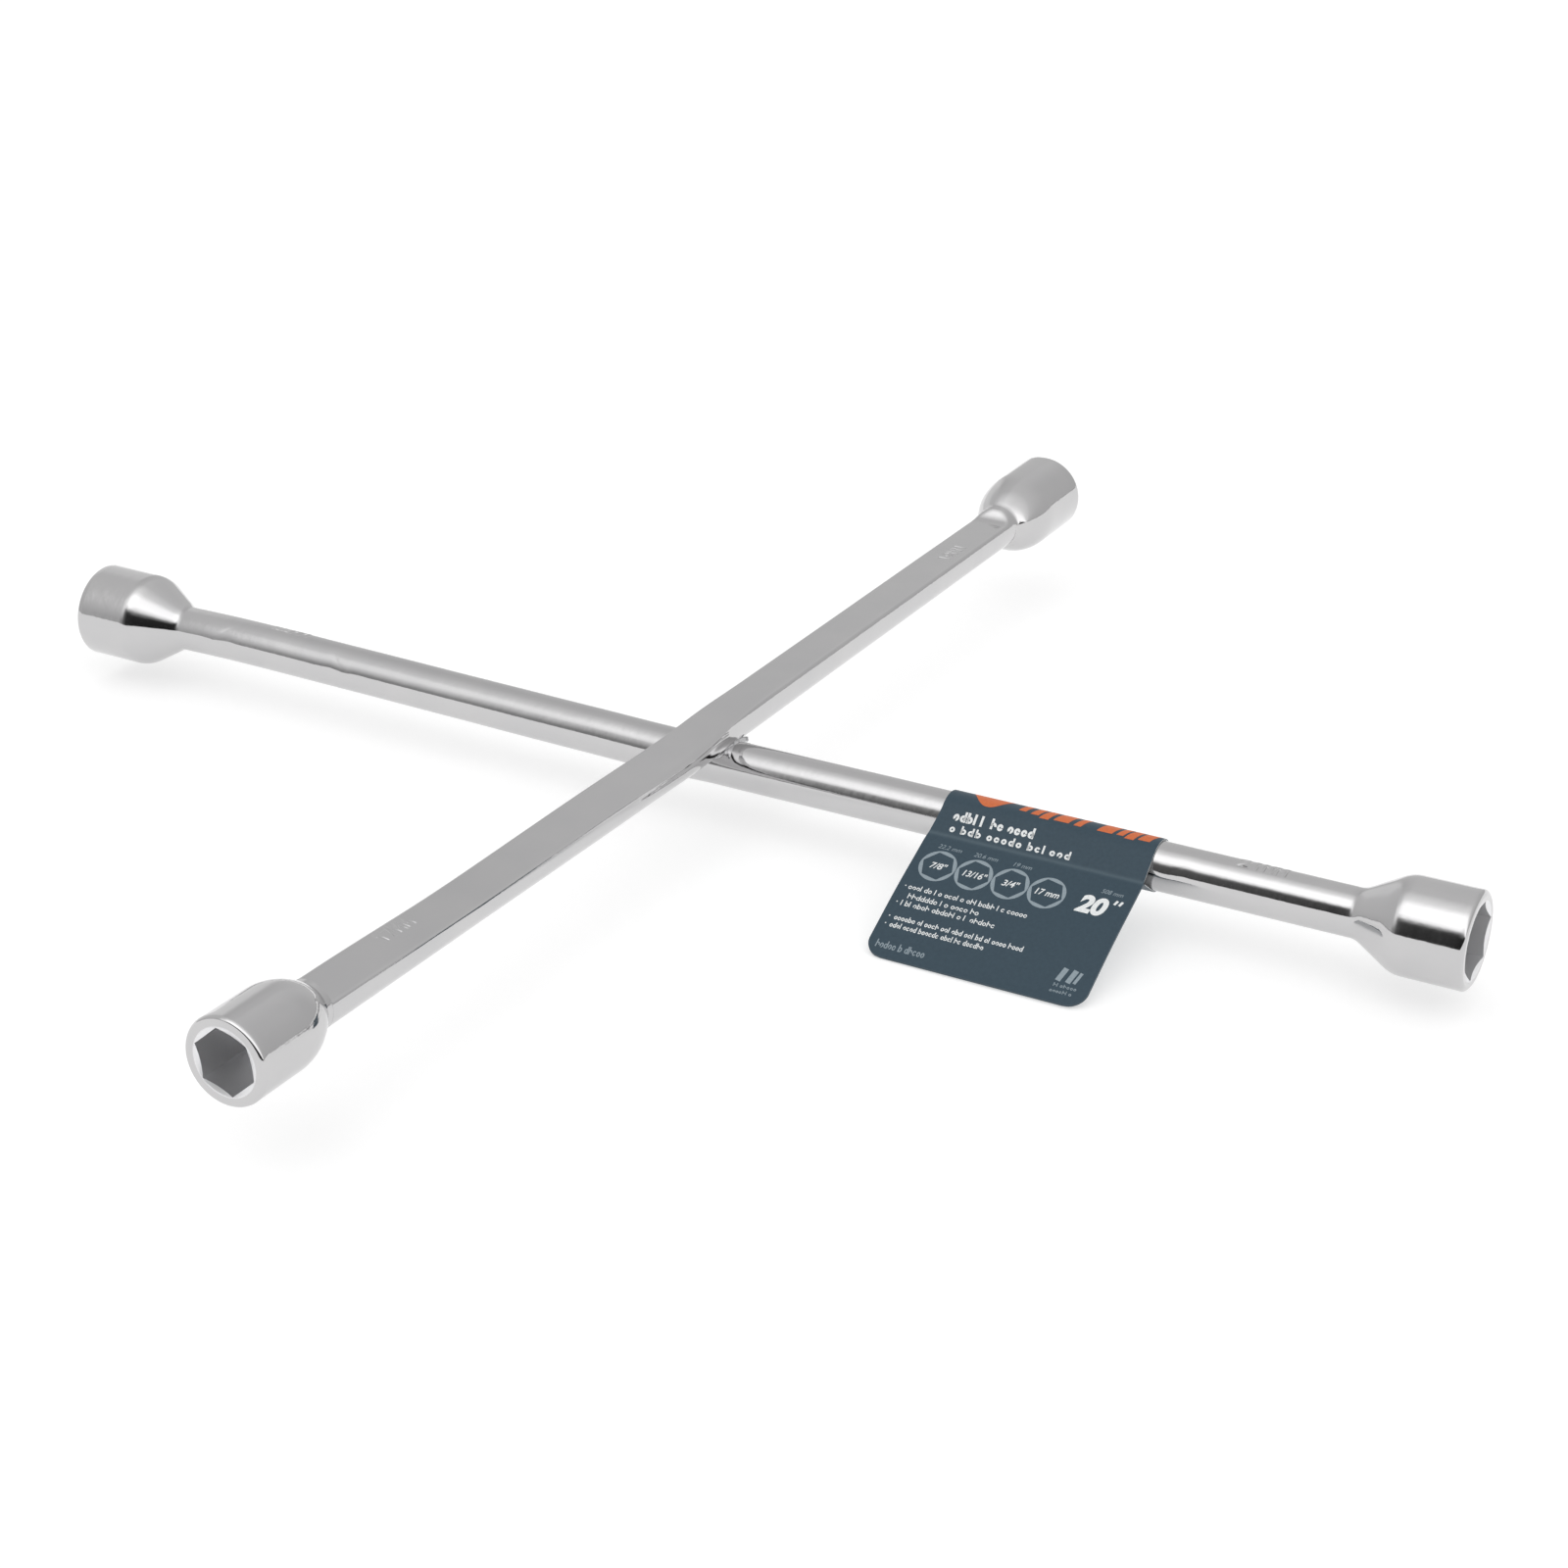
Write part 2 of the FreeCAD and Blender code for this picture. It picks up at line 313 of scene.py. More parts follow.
def figure(character):
    """Strokes of a stamped figure as lines between points in a box 0.62 wide and 1 high."""
    bend = np.linspace(0, 1, 7)
    if character == "1":
        return [[(0.12, 0.78), (0.36, 1.0), (0.36, 0.0)]]
    if character == "7":
        return [[(0.0, 1.0), (0.6, 1.0), (0.24, 0.0)]]
    if character == "2":
        top = [(0.3 - 0.3 * math.cos(math.pi * t), 0.7 + 0.3 * math.sin(math.pi * t)) for t in bend]
        return [top + [(0.5, 0.48), (0.0, 0.0), (0.6, 0.0)]]
    if character == "9":
        ring = [(0.3 + 0.3 * math.cos(2 * math.pi * t), 0.7 + 0.3 * math.sin(2 * math.pi * t)) for t in bend]
        return [ring, [(0.6, 0.7), (0.5, 0.2), (0.14, 0.0)]]
    return [[(0.0, 0.0), (0.0, 1.0), (0.31, 0.45), (0.62, 1.0), (0.62, 0.0)]]


def stroke_distance(word, x, y):
    """Distance of each point from the nearest stroke of a word whose figures are 1 high, from x = 0."""
    nearest = np.full(x.shape, 9.0)
    for place, character in enumerate(word):
        for stroke in figure(character):
            for (ax, ay), (bx, by) in zip(stroke[:-1], stroke[1:]):
                ax, bx = ax + place * FIGURE_PITCH, bx + place * FIGURE_PITCH
                run = max((bx - ax) ** 2 + (by - ay) ** 2, 1e-9)
                t = np.clip(((x - ax) * (bx - ax) + (y - ay) * (by - ay)) / run, 0, 1)
                gap = np.hypot(x - ax - t * (bx - ax), y - ay - t * (by - ay))
                nearest = np.minimum(nearest, gap)
    return nearest


def stamp_depth(arm, s, across):
    """Depth of an arm's stamped size at a place along the bar and across it, in millimetres."""
    word, middle, _ = STAMPS[arm]
    width = (len(word) * FIGURE_PITCH - FIGURE_GAP) * STAMP_HEIGHT
    x = (s - middle + width / 2) / STAMP_HEIGHT
    y = across / STAMP_HEIGHT + 0.5
    gap = stroke_distance(word, x, y) * STAMP_HEIGHT
    return STAMP_DEPTH * ease(STAMP_STROKE / 2 + 0.22, STAMP_STROKE / 2 - 0.14, gap)


def hand_polish(s, angle):
    """The slight unevenness that forging and polishing leave: a few slow waves along and round the bar."""
    turn = np.radians(angle)
    return (0.020 * np.sin(s / 17.0 + 1.1 * np.sin(turn)) + 0.008 * np.sin(s / 7.3 + 2 * turn + 0.7)
            + 0.010 * np.sin(s / 41.0 - 3 * turn + 2.0))


def bar_grid(low_arm, high_arm):
    """Stations of a whole bar from one hexagon to the other: place along, radius, angle, inside a socket."""
    columns = -180 + STEP * np.arange(COLUMNS)
    low = arm_outline(low_arm)
    high = arm_outline(high_arm)
    s = np.vstack([-low[0], high[0][::-1]])
    r = np.vstack([low[1], high[1][::-1]])
    hollow = np.vstack([low[3], high[3][::-1]])
    start = np.vstack([low[2] + 0 * low[0], high[2] + 0 * high[0]])
    blank = 1 - ease(40, 200, np.abs(s))
    return s, r, start * (1 - blank) + columns * blank, hollow


def sweep(upper, s):
    """How far a bar strays up from its straight axis: the far arm is high at the weld, the left arm waves."""
    if upper:
        return FAR_ARM_HIGH * ease(-30, 8, s) * (1 - np.clip((s - 20) / 190, 0, 1))
    return through(s, SWEEP_PLACES, SWEEP_HEIGHTS)


def place_on_bar(upper, s, r, angle):
    """Points of a bar from their place along it, radius and angle from straight up: the axis is a shallow V
    rounded at the weld, and each section stands square to it."""
    rise = UPPER_RISE if upper else ARM_RISE
    along = np.array([0.0, 1.0, 0.0]) if upper else np.array([1.0, 0.0, 0.0])
    side = np.array([1.0, 0.0, 0.0]) if upper else np.array([0.0, -1.0, 0.0])
    up = np.array([0.0, 0.0, 1.0])
    reach = np.sqrt(s * s + KINK * KINK)
    slope = rise * s / reach
    height = rise * (reach - KINK) + (BAR_SPACING if upper else 0) + sweep(upper, s)
    scale = 1 / np.sqrt(1 + slope * slope)
    turn = np.radians(angle)
    rise_part = r * np.cos(turn) * scale
    return (WELD + along * (s - rise_part * slope)[..., None] + side * (r * np.sin(turn))[..., None]
            + up * (height + rise_part)[..., None])


def share_weld(points, upper):
    """Inside the other bar, the surface stops at the weld plane halfway between the two axes."""
    local = points - WELD
    across = local[..., 1] if upper else local[..., 0]
    level = local[..., 2] if upper else local[..., 2] - BAR_SPACING
    inside = np.hypot(across, level) < BAR_R
    if upper:
        local[..., 2] = np.where(inside, np.maximum(local[..., 2], WELD_PLANE), local[..., 2])
    else:
        local[..., 2] = np.where(inside, np.minimum(local[..., 2], WELD_PLANE), local[..., 2])
    return local + WELD


def over_bar(material):
    """Upper bar: radius is the softened smaller of the round bar and the flat's h / cos(angle - tilt), less
    the stamped figures. On the far arm the flat's left edge is pressed out a little. Beside the weld, metal
    squeezed up along the right edge makes a lip over a groove, and the flank is hollow by the fin."""
    s, r, angle, hollow = bar_grid("near", "far")
    columns = -180 + STEP * np.arange(COLUMNS)
    tilt, height = flat_shape(s)
    half = np.degrees(np.arccos(np.clip(height / BAR_R, 0.05, 0.9)))
    on_edges = follow_edges(columns, tilt, half)
    follow = ease(-224, -219, s) * (1 - ease(204, 214, s))
    angle = angle * (1 - follow) + on_edges * follow
    outside = hollow < 0.5
    from_middle = np.radians(angle - tilt)
    chord = height / np.maximum(np.cos(from_middle), 0.05)
    corner = 0.35 + 1.0 * ease(0, 30, s) + 0.6 * ease(-80, -120, s)
    pressed_out = PRESSED_OUT * ease(-40, 8, s) * np.exp(-(((angle - tilt + half) / 16) ** 2))
    round_bar = r + pressed_out + hand_polish(s, angle)
    flat_top = chord + 0.35 * hand_polish(s * 0.7 + 30, 0 * angle)
    flat = soft_min(round_bar, flat_top, corner)
    lip_gap = (angle - tilt - half) * math.pi / 180 * BAR_R
    lip_size = ease(-66, -18, s) * (1 - ease(-12, -2, s))
    flat = flat + LIP_HEIGHT * lip_size * np.exp(-((lip_gap - 0.05) / 0.45) ** 2)
    groove_size = ease(-74, -24, s) * (1 - ease(-12, -2, s))
    flat = flat - GROOVE_DEPTH * groove_size * np.exp(-((lip_gap - 1.25) / 0.55) ** 2)
    flat = flat - HOLLOW_DEPTH * np.exp(-((s + 12) / 6.0) ** 2 - ((lip_gap - 3.0) / 2.2) ** 2)
    depth = 0
    for arm in ("near", "far"):
        across = -height * np.tan(np.clip(from_middle, -1.2, 1.2)) - STAMPS[arm][2]
        here = (np.abs(s - STAMPS[arm][1]) < STAMP_REACH) & (np.abs(from_middle) < 1.2)
        depth = depth + np.where(here, stamp_depth(arm, s, across), 0)
    r = np.where(outside, flat - depth, r)
    points = share_weld(place_on_bar(True, s, r, angle), True)
    vertices, faces = tube(points, "point")
    inside = np.append(hollow.ravel(), [1, 1])
    piece = make_piece("upper_bar", vertices, outward(vertices, faces), material, sharp=30, inside=inside)
    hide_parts("over_bar")
    return piece


def under_bar(material):
    """Lower bar: round all along, with the columns close together where the figures are stamped on top."""
    s, r, angle, hollow = bar_grid("left", "right")
    columns = -180 + STEP * np.arange(COLUMNS)
    outside = hollow < 0.5
    depth = 0
    for arm in ("left", "right"):
        _, place, turn = STAMPS[arm]
        gathered = follow_edges(columns, turn, STAMP_COLUMNS)
        near_word = ease(STAMP_REACH + 10, STAMP_REACH, np.abs(s - place))
        angle = angle * (1 - near_word) + gathered * near_word
        across = -np.radians(angle - turn) * BAR_R
        here = (np.abs(s - place) < STAMP_REACH) & (np.abs(across) < 5)
        depth = depth + np.where(here, stamp_depth(arm, s, across), 0)
    r = np.where(outside, r + hand_polish(s + 90, angle) - depth, r)
    wedge = 3.5 + 0.5 * np.clip(229 - s, 0, 7)
    crease = np.exp(-((angle + 62) / wedge) ** 2) * ease(221.5, 223, s) * ease(229, 225, s)
    r = r - CREASE_DEPTH * np.where(outside, crease, 0)
    points = share_weld(place_on_bar(False, s, r, angle), False)
    vertices, faces = tube(points, "point")
    inside = np.append(hollow.ravel(), [1, 1])
    piece = make_piece("lower_bar", vertices, outward(vertices, faces), material, sharp=30, inside=inside)
    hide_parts("under_bar")
    return piece


# ---------------------------------------------------------------- the weld

def weld_bead(material):
    """Bead in the corner between the bars: a round cord with an uneven thickness, laid along the curve
    where the two cylinders meet, whose height is the weld plane plus a swing that repeats twice round."""
    swing = BAR_R - WELD_PLANE
    a = np.linspace(0, 2 * math.pi, 192, endpoint=False)
    height = WELD_PLANE + swing * np.cos(2 * a)
    x = np.sqrt(np.maximum(BAR_R ** 2 - (BAR_SPACING - height) ** 2, 0)) * np.sign(np.cos(a))
    y = np.sqrt(np.maximum(BAR_R ** 2 - height ** 2, 0)) * np.sign(np.sin(a))
    centre = np.stack([x, y, height], -1)
    out = centre * np.array([1.0, 1.0, 0.0])
    out = out / np.linalg.norm(out, axis=1, keepdims=True)
    up = np.array([0.0, 0.0, 1.0])
    b = np.linspace(0, 2 * math.pi, 20, endpoint=False)
    thickness = 0.42 + 0.08 * np.sin(5 * a + 1) + 0.04 * np.sin(11 * a)
    lumps = 1 + 0.05 * np.sin(9 * a[:, None] + 2 * b[None, :])
    radius = (thickness[:, None] * lumps)[..., None]
    rings = centre[:, None, :] + radius * (out[:, None, :] * np.cos(b)[None, :, None]
                                           + up * np.sin(b)[None, :, None])
    rings = rings + WELD
    count, around, _ = rings.shape
    i, j = np.meshgrid(np.arange(count), np.arange(around), indexing="ij")
    k, m = (j + 1) % around, (i + 1) % count
    faces = np.stack([i * around + j, i * around + k, m * around + k, m * around + j], -1)
    faces = faces.reshape(-1, 4).tolist()
    points = rings.reshape(-1, 3)
    piece = make_piece("weld_bead", points, outward(points, faces), material)
    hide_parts("weld_flash")
    return piece


def flash_fin(material):
    """Squeezed-out fin beside the weld: a slab of metal folded down from the upper bar over the lower bar.
    At each step along the bar its section is a flattened loop between an upper point on the flank and a lower
    lip; the middle bulges outwards a little, and the fin narrows to a point at its near end."""
    t = np.linspace(0, 1, 90)[:, None]
    b = np.linspace(0, 2 * math.pi, 48, endpoint=False)[None, :]
    taper = (1 - (1 - t) ** 3) * np.sqrt(1 - t ** 14) * 0.99 + 0.01
    y = -8.4 + 15.4 * t
    top_x, top_z = 6.9 - 0.7 * t, 9.9 - 2.4 * t
    low_x, low_z = 5.7 + 2.4 * t + 0.03 * np.sin(9 * t), 3.6 + 2.6 * t
    share = 0.5 - 0.5 * np.cos(b)
    thick = 0.55 * taper * np.sin(b) * (1 - 0.45 * share)
    bulge = 0.12 * np.sin(math.pi * share)
    run_x, run_z = low_x - top_x, low_z - top_z
    length = np.hypot(run_x, run_z)
    middle = 0.5 + (share - 0.5) * taper
    x = top_x + run_x * middle - run_z / length * (thick + bulge)
    z = top_z + run_z * middle + run_x / length * (thick + bulge)
    rings = np.stack([x, y + 0 * b + 0.3 * np.sin(2 * math.pi * share), z], -1) + WELD
    points, faces = tube(rings, "point")
    piece = make_piece("flash_fin", points, outward(points, faces), material)
    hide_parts("flash_tongue")
    return piece


# ---------------------------------------------------------------- the card

def card_directions():
    """Down the flap, and square off its printed face."""
    down = np.array([-math.cos(FLAP_SLOPE), -math.sin(FLAP_SLOPE)])
    face = np.array([-math.sin(FLAP_SLOPE), math.cos(FLAP_SLOPE)])
    return down, face


def board_path():
    """The board's path: from the front leaf's edge up to the crease, on to the bar, round it, back to the
    crease and down the rear leaf. Corners are rounded by averaging, and the leaves bow slightly.
    Returns distances along the path, its length, its middle line and the directions out of the board."""
    down, face = card_directions()
    leaf = (BOARD + LEAF_GAP) / 2
    distance = np.hypot(*CREASE)
    facing = math.atan2(CREASE[1], CREASE[0]) + 2 * math.pi
    spread = math.acos(LOOP_R / distance)
    arc = np.linspace(facing - spread, facing + spread - 2 * math.pi, 120)
    loop = LOOP_R * np.stack([np.cos(arc), np.sin(arc)], -1)
    front = CREASE + face * leaf
    rear = CREASE - face * leaf
    corners = np.vstack([front + down * FLAP_LENGTH, front, loop, rear, rear + down * FLAP_LENGTH])
    lengths = np.append(0, np.cumsum(np.linalg.norm(np.diff(corners, axis=0), axis=1)))
    total = lengths[-1]
    fine = np.linspace(0, total, 1400)
    path = np.stack([np.interp(fine, lengths, corners[:, k]) for k in (0, 1)], -1)
    window = np.hanning(19)
    window = window / window.sum()
    padded = np.vstack([2 * path[:1] - path[9:0:-1], path, 2 * path[-1:] - path[-2:-11:-1]])
    smooth = np.stack([np.convolve(padded[:, k], window, "valid") for k in (0, 1)], -1)
    leaf_end = 6.5
    before = FLAP_LENGTH - 3
    after = FLAP_LENGTH + 3
    half = np.concatenate([np.linspace(0, leaf_end, 22), np.linspace(leaf_end, before, 40),
                           np.linspace(before, after, 30)])
    at = np.unique(np.concatenate([half, np.linspace(after, total - after, 110), total - half]))
    line = np.stack([np.interp(at, fine, smooth[:, k]) for k in (0, 1)], -1)
    tangent = np.gradient(line, at, axis=0)
    tangent = tangent / np.linalg.norm(tangent, axis=1, keepdims=True)
    normal = np.stack([-tangent[:, 1], tangent[:, 0]], -1)
    if normal[0] @ face < 0:
        normal = -normal
    from_crease = FLAP_LENGTH - np.minimum(at, total - at)
    bow = FLAP_BOW * np.sin(math.pi * np.clip(from_crease / FLAP_LENGTH, 0, 1)) ** 2
    return at, total, line + bow[:, None] * face, normal


def on_arm(a, across, up):
    """A point of the card from its place along the arm and its offsets from the arm's axis."""
    s = CARD_START + a
    return np.stack([WELD[0] + s, WELD[1] + across + 0 * s, WELD[2] + up + s * ARM_RISE], -1)


def card(material):
    """The folded board: at each step of its path, a thin rectangle across the full width. Towards the flap's
    edge the width shrinks by c - sqrt(c^2 - d^2), which rounds the corners."""
    at, total, line, normal = board_path()
    from_edge = np.minimum(at, total - at)
    deep = np.clip(FLAP_CORNER - from_edge, 0, None)
    inset = FLAP_CORNER - np.sqrt(np.maximum(FLAP_CORNER ** 2 - deep ** 2, 0))
    across = 40
    t = np.linspace(0, 1, across)
    askew = inset + LEFT_EDGE_ASKEW * ease(FLAP_LENGTH - 4, FLAP_LENGTH + 10, from_edge)
    a_out = askew[:, None] + (CARD_WIDTH - inset - askew)[:, None] * t[None, :]
    outer = line + normal * BOARD / 2
    inner = line - normal * BOARD / 2
    ring_a = np.hstack([a_out, a_out[:, ::-1]])
    ring_across = np.hstack([np.repeat(outer[:, :1], across, 1), np.repeat(inner[:, :1], across, 1)])
    ring_up = np.hstack([np.repeat(outer[:, 1:], across, 1), np.repeat(inner[:, 1:], across, 1)])
    rings = on_arm(ring_a, ring_across, ring_up)
    points, faces = tube(rings, "seam")
    in_loop = ease(FLAP_LENGTH, FLAP_LENGTH + 2, from_edge)[:, None]
    bare = np.hstack([np.zeros((len(at), across)), in_loop + np.zeros((len(at), across))])
    # crease: a narrow band along the fold, where the board's material paints a lighter highlight
    crease = np.exp(-((from_edge - FLAP_LENGTH) / 0.7) ** 2)[:, None] + 0 * bare
    piece = make_piece("size_card", points, outward(points, faces), material, sharp=50, bare=bare,
                       crease=crease)
    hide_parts("card_sleeve", "card_flap")
    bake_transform(piece)
    return piece


def printed_point(a, q, lift):
    """A point just off the card's printed side: a along the arm, q down the flap from the crease.
    Above the crease q is negative, and runs up the top panel and over the bar."""
    at, _, line, normal = board_path()
    surface = line + normal * (BOARD / 2 + lift)
    across = np.interp(FLAP_LENGTH - q, at, surface[:, 0])
    up = np.interp(FLAP_LENGTH - q, at, surface[:, 1])
    return on_arm(a, across, up)


class Ink:
    """Flat printed shapes of one colour, gathered into one mesh, in card millimetres."""

    def __init__(self):
        self.points = []
        self.faces = []

    def add(self, points, faces):
        start = sum(len(p) for p in self.points)
        self.points.append(np.asarray(points, float))
        self.faces += [[index + start for index in face] for face in faces]


def strip(ink, left, right):
    """A printed band between two lines of points."""
    count = len(left)
    i = np.arange(count - 1)
    ink.add(np.vstack([left, right]), np.stack([i, i + 1, i + 1 + count, i + count], -1).tolist())


def stroke(ink, a0, q0, a1, q1, width):
    """A straight printed line with square ends."""
    run = np.array([a1 - a0, q1 - q0])
    across = np.array([-run[1], run[0]]) / max(np.hypot(*run), 1e-9) * width / 2
    ends = np.array([a0, q0]) + run * np.linspace(0, 1, 3)[:, None]
    strip(ink, ends - across, ends + across)


def letter_marks(ink, a0, q0, height, lengths, weight, end):
    """A line of words that can't be read: round bowls and upright strokes, in words of the given lengths,
    starting at a0 on the base line q0 and spread so that the line finishes at end."""
    letters = sum(lengths)
    body = height * 0.66
    pitch = (end - a0) / (letters + 0.55 * (len(lengths) - 1))
    bowl = min(body, pitch * 0.88)
    a = a0
    shapes = ((0, 360, 0), (0, 360, 1), (0, 360, 0), (30, 330, 0), (-10, 190, 1), (0, 360, 2), (-90, 220, 0),
              (0, 360, 0), (0, 0, 1), (0, 345, 0))
    for length in lengths:
        for place in range(length):
            start, stop, stem = shapes[random.integers(0, len(shapes))]
            if stop > start:
                turn = np.radians(np.linspace(start, stop, 15))
                circle = np.stack([np.cos(turn), -np.sin(turn)], -1)
                centre = np.array([a + bowl / 2, q0 - body / 2])
                outside = circle * np.array([bowl, body]) / 2
                inside = circle * np.array([bowl - 2 * weight, body - 2 * weight]) / 2
                strip(ink, centre + outside, centre + inside)
            if stem == 1:
                stroke(ink, a + weight / 2, q0, a + weight / 2, q0 - height, weight)
            if stem == 2:
                stroke(ink, a + bowl - weight / 2, q0, a + bowl - weight / 2, q0 - height, weight)
            a += pitch
        a += pitch * 0.55


def lettering(ink, text, a, q, height, slant=0.0, bold=0.0, room=99.0):
    """Plain figures from a font outline, with their middle at a and base line at q, no wider than room."""
    curve = bpy.data.curves.new("figures", "FONT")
    curve.body = text
    curve.align_x = "CENTER"
    curve.shear = slant
    curve.offset = bold
    curve.size = 1.0
    holder = bpy.data.objects.new("figures", curve)
    bpy.context.collection.objects.link(holder)
    bpy.context.view_layer.update()
    mesh = bpy.data.meshes.new_from_object(holder.evaluated_get(bpy.context.evaluated_depsgraph_get()))
    flat = np.array([v.co[:2] for v in mesh.vertices])
    faces = [list(p.vertices) for p in mesh.polygons]
    bpy.data.objects.remove(holder)
    bpy.data.curves.remove(curve)
    bpy.data.meshes.remove(mesh)
    tall = height / 0.7
    wide = min(tall, room / np.ptp(flat[:, 0]))
    ink.add(np.stack([a + flat[:, 0] * wide, q - flat[:, 1] * tall], -1), faces)


def nut_ring(ink, a, q):
    """A round ring whose hole is a hexagon, the sign for a socket size."""
    angle = np.linspace(0, 360, 97)
    circle = np.stack([np.cos(np.radians(angle)), np.sin(np.radians(angle))], -1)
    hexagon = hex_radius(5.45, angle, 12.0)
    middle = np.array([a, q])
    strip(ink, middle + circle * 6.0, middle + circle * np.minimum(hexagon, 5.4)[:, None])


def print_on(ink, name, material, body):
    """The gathered shapes of one colour, laid on the card."""
    flat = np.vstack(ink.points)
    points = printed_point(flat[:, 0], flat[:, 1], PRINT_LIFT)
    piece = make_piece(name, points, ink.faces, material)
    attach(piece, body)
    return piece


def bowl_shape(ink, a0, a1, q_low, q_high):
    """A plain bowl: at each height its width is the chord of a sine arch between a0 and a1."""
    deep = np.linspace(0, 0.98, 16)
    half = 0.5 - np.arcsin(deep) / math.pi
    rows = q_high + (q_low - q_high) * deep
    left = (a0 + a1) / 2 - (a1 - a0) * half
    right = (a0 + a1) / 2 + (a1 - a0) * half
    strip(ink, np.stack([left, rows], -1), np.stack([right, rows], -1))


def card_print(white, grey, orange):
    pale = Ink()
    dim = Ink()
    sizes = (('7/8"', "22.2 mm"), ('13/16"', "20.6 mm"), ('3/4"', "19 mm"), ("17 mm", ""))
    for place, (size, metric) in enumerate(sizes):
        a = 8.8 + 12.17 * place
        nut_ring(dim, a, 12.05)
        lettering(pale, size, a, 13.15, 2.3, slant=0.2, bold=0.015, room=7.8)
        if metric:
            lettering(dim, metric, a + 0.8, 5.2, 1.6, slant=0.25, room=8.0)
    lettering(pale, "20", 60.2, 15.4, 6.2, slant=0.15, bold=0.05, room=9.4)
    for shift in (0.0, 1.6):
        stroke(pale, 67.2 + shift, 8.7, 66.6 + shift, 10.4, 0.8)
    lettering(dim, "508 mm", 64.4, 7.1, 1.6, slant=0.25, room=7.0)
    lines = ((3.6, 22.9, (6, 2, 5, 7, 2, 5), 43.4), (4.9, 26.3, (7, 2, 4, 2), 28.9),
             (3.9, 29.3, (7, 7, 1, 6), 35.5), (4.2, 34.8, (6, 6, 6, 5, 6, 4), 47.1),
             (4.0, 37.7, (8, 6, 6, 6), 35.4))
    for a, q, words, end in lines:
        letter_marks(pale, a, q, 2.0, words, 0.31, end)
    for q in (21.9, 28.3, 33.8, 36.7):
        stroke(pale, 2.3, q, 2.7, q, 0.4)
    letter_marks(dim, 2.9, 45.6, 2.8, (5, 1, 5), 0.36, 19.3)
    for shift in (0.0, 3.2):
        stroke(dim, 61.2 + shift, 41.2, 62.3 + shift, 36.4, 1.7)
    stroke(dim, 67.4, 36.8, 66.4, 41.0, 1.0)
    letter_marks(dim, 60.6, 43.3, 1.3, (7,), 0.24, 68.2)
    letter_marks(dim, 60.2, 45.4, 1.3, (7,), 0.24, 67.4)
    print_on(pale, "white_print", white, "flap")
    print_on(dim, "grey_print", grey, "flap")

    title = Ink()
    letter_marks(title, 6.2, -5.4, 3.6, (5, 2, 4), 0.80, 33.7)
    letter_marks(title, 6.4, -1.5, 2.8, (1, 3, 5, 6), 0.62, 47.6)
    print_on(title, "title_print", white, "sleeve")
    patch = Ink()
    bowl_shape(patch, 8.0, 22.5, -12.3, -19.0)
    blocks = ((25.2, 27.6, -14.2), (29.4, 32.0, -13.8), (32.6, 35.6, -12.9), (37.2, 42.2, -13.4),
              (44.0, 46.4, -13.2), (51.6, 56.6, -13.3), (58.0, 60.2, -13.5), (60.8, 63.8, -12.8),
              (65.0, 68.8, -13.5))
    for left, right, edge in blocks:
        rows = np.linspace(edge, -20.0, 14)
        lean = 0.35 * (edge - rows)
        strip(patch, np.stack([left + lean, rows], -1), np.stack([right + lean, rows], -1))
    print_on(patch, "orange_print", orange, "sleeve")


# ---------------------------------------------------------------- materials

def new_material(name):
    material = bpy.data.materials.new(name)
    material.use_nodes = True
    nodes = material.node_tree.nodes
    nodes.clear()
    return material, nodes, material.node_tree.links


